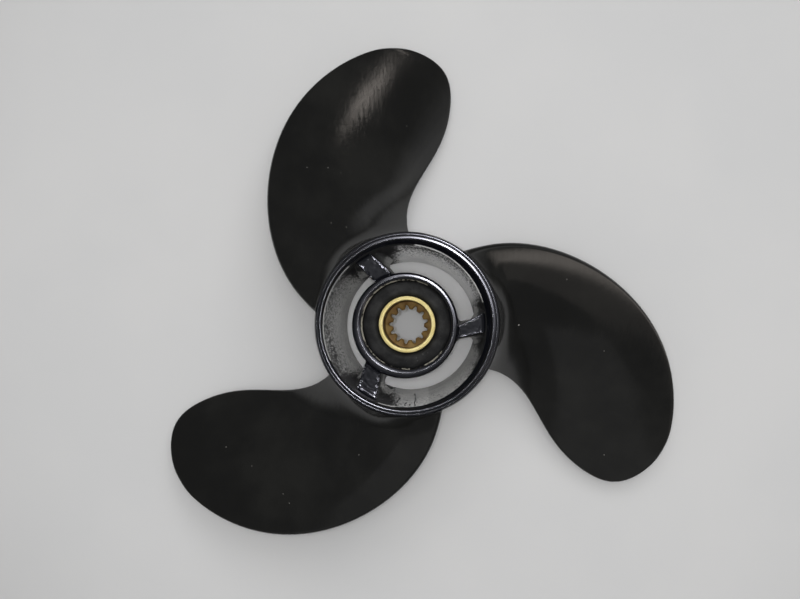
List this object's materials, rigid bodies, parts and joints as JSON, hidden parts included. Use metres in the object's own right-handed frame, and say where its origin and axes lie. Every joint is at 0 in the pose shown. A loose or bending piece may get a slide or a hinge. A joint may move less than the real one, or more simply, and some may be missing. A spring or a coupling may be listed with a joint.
{
  "type": "outboard motor propeller",
  "caption": "Right-hand outboard propeller with broad skewed blades on a through-hub exhaust barrel, and a ribbed inner hub with a rubber-bushed brass splined sleeve.",
  "frame": {"origin": "on the shaft's axis in the plane of the aft rim, which the propeller stands on", "axes": "+Z along the shaft's axis towards the forward end, +X towards the rib in front of the right-hand blade in the picture's view"},
  "size_m": [0.2378, 0.2282, 0.095],
  "materials": {
    "painted_casting": "gloss and satin black paint over cast aluminium",
    "rubber": "matte moulded rubber",
    "brass": "machined brass, dulled in the bore"
  },
  "bodies": {
    "root": {"outer_barrel": "painted_casting", "inner_hub": "painted_casting", "rib_1": "painted_casting", "rib_2": "painted_casting", "rib_3": "painted_casting", "blade_1": "painted_casting", "blade_2": "painted_casting", "blade_3": "painted_casting", "rubber_bushing": "rubber", "splined_sleeve": "brass"}
  },
  "joints": []
}
